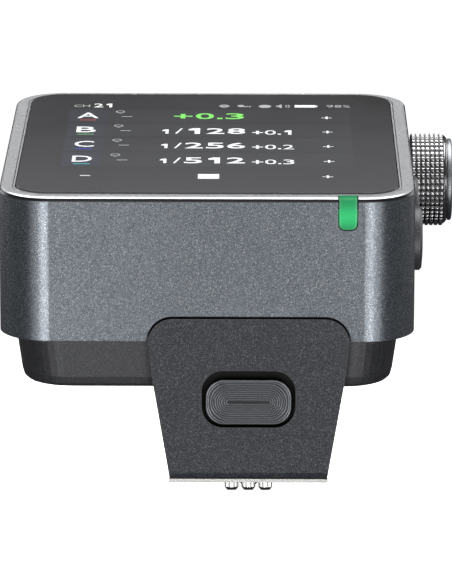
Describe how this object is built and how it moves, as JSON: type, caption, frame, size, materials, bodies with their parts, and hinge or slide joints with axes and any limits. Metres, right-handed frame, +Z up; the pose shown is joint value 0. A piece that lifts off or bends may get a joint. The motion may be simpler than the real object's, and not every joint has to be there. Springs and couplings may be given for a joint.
{
  "type": "wireless flash trigger",
  "caption": "Camera shoe-mounted wireless flash trigger: metal case with a sloping touch screen, knurled side dial, round side keys, green test key, lock release and sprung contact pins.",
  "frame": {"origin": "middle of the shoe foot's underside, below the sync contact pin", "axes": "+Z up; +Y forwards, the way the foot slides into the shoe; -Y faces the viewer; +X towards the side with the dial"},
  "size_m": [0.0542, 0.0582, 0.048],
  "materials": {
    "shell_metal": "fine metallic satin",
    "shell_dark": "fine speckle",
    "screen_glass": "anti-glare",
    "black_foam": "matte",
    "display_black": "satin",
    "flex_amber": "satin",
    "board_green": "satin",
    "tinned_steel": "satin",
    "gold_plate": "polished",
    "black_plastic": "matte",
    "foil_silver": "foil",
    "steel": "satin",
    "white_plastic": "satin",
    "dial_metal": "knurled",
    "cap_metal": "satin",
    "key_metal": "satin",
    "test_green": "translucent gloss",
    "neck_plastic": "fine speckle",
    "foot_steel": "satin",
    "wire_red": "satin",
    "pin_nickel": "polished",
    "spring_steel": "satin",
    "button_dark": "finely ribbed"
  },
  "bodies": {
    "case": {"upper_shell": "shell_metal", "lower_shell": "shell_dark", "cover_glass": "screen_glass", "glass_gasket": "black_foam", "display_panel": "display_black", "display_flex": "flex_amber", "main_board": "board_green", "radio_shield": "tinned_steel", "antenna": "gold_plate", "buzzer": "black_plastic", "battery": "foil_silver", "battery_pad": "black_foam", "usb_port": "tinned_steel", "usb_tongue": "black_plastic", "sync_jack": "black_plastic", "side_board": "board_green", "side_switches": "black_plastic", "encoder_case": "tinned_steel", "encoder_bush": "tinned_steel", "front_board": "board_green", "test_switch": "black_plastic", "status_led": "white_plastic", "case_screws": "steel", "mount_neck": "neck_plastic", "neck_screws": "steel", "shoe_foot": "foot_steel", "foot_screws": "steel", "contact_insulator": "black_plastic", "contact_board": "board_green", "contact_wires": "wire_red", "sync_spring": "spring_steel", "left_spring": "spring_steel", "middle_spring": "spring_steel", "right_spring": "spring_steel", "button_guide": "black_plastic", "release_spring": "spring_steel", "lock_spring": "spring_steel", "lock_retainer": "tinned_steel", "retainer_screws": "steel"},
    "power_key": {"power_key": "key_metal"},
    "menu_key": {"menu_key": "key_metal"},
    "test_key": {"test_key": "test_green"},
    "dial_press": {"dial_push_rod": "white_plastic"},
    "dial": {"dial_shaft": "steel", "detent_wheel": "white_plastic", "dial_ring": "dial_metal", "dial_cap": "cap_metal"},
    "sync_pin": {"sync_pin": "pin_nickel"},
    "left_pin": {"left_pin": "pin_nickel"},
    "middle_pin": {"middle_pin": "pin_nickel"},
    "right_pin": {"right_pin": "pin_nickel"},
    "release": {"release_button": "button_dark"},
    "lock": {"lock_pin": "pin_nickel", "lock_cross_pin": "steel"}
  },
  "joints": [
    {"name": "power_key_press", "type": "slide", "parent": "case", "child": "power_key", "axis": [-1, 0, 0], "range_m": [0, 0.0004], "stiffness_N_per_m": 900, "springref_m": -0.0008},
    {"name": "menu_key_press", "type": "slide", "parent": "case", "child": "menu_key", "axis": [-1, 0, 0], "range_m": [0, 0.0004], "stiffness_N_per_m": 900, "springref_m": -0.0008},
    {"name": "test_key_press", "type": "slide", "parent": "case", "child": "test_key", "axis": [0, 0.9703, 0.2419], "range_m": [0, 0.0003], "stiffness_N_per_m": 900, "springref_m": -0.0008},
    {"name": "dial_push", "type": "slide", "parent": "case", "child": "dial_press", "axis": [-1, 0, 0], "range_m": [0, 0.0003], "stiffness_N_per_m": 1200, "springref_m": -0.001},
    {"name": "dial_turn", "type": "hinge", "parent": "dial_press", "child": "dial", "pos_m": [0.0194, 0.01989, 0.03581], "axis": [1, 0, 0], "continuous": true},
    {"name": "sync_pin_press", "type": "slide", "parent": "case", "child": "sync_pin", "axis": [0, 0, 1], "range_m": [0, 0.0009], "stiffness_N_per_m": 300, "springref_m": -0.0008, "deforming": ["sync_spring"]},
    {"name": "left_pin_press", "type": "slide", "parent": "case", "child": "left_pin", "axis": [0, 0, 1], "range_m": [0, 0.0009], "stiffness_N_per_m": 300, "springref_m": -0.0008, "deforming": ["left_spring"]},
    {"name": "middle_pin_press", "type": "slide", "parent": "case", "child": "middle_pin", "axis": [0, 0, 1], "range_m": [0, 0.0009], "stiffness_N_per_m": 300, "springref_m": -0.0008, "deforming": ["middle_spring"]},
    {"name": "right_pin_press", "type": "slide", "parent": "case", "child": "right_pin", "axis": [0, 0, 1], "range_m": [0, 0.0009], "stiffness_N_per_m": 300, "springref_m": -0.0008, "deforming": ["right_spring"]},
    {"name": "release_press", "type": "slide", "parent": "case", "child": "release", "axis": [0, 1, 0], "range_m": [0, 0.0016], "stiffness_N_per_m": 400, "springref_m": -0.002, "deforming": ["release_spring", "lock_spring"]},
    {"name": "lock_lift", "type": "slide", "parent": "case", "child": "lock", "axis": [0, 0, 1], "range_m": [0, 0.00145]}
  ],
  "couplings": [
    {"joint": "lock_lift", "follows": "release_press", "ratio": 0.9}
  ]
}
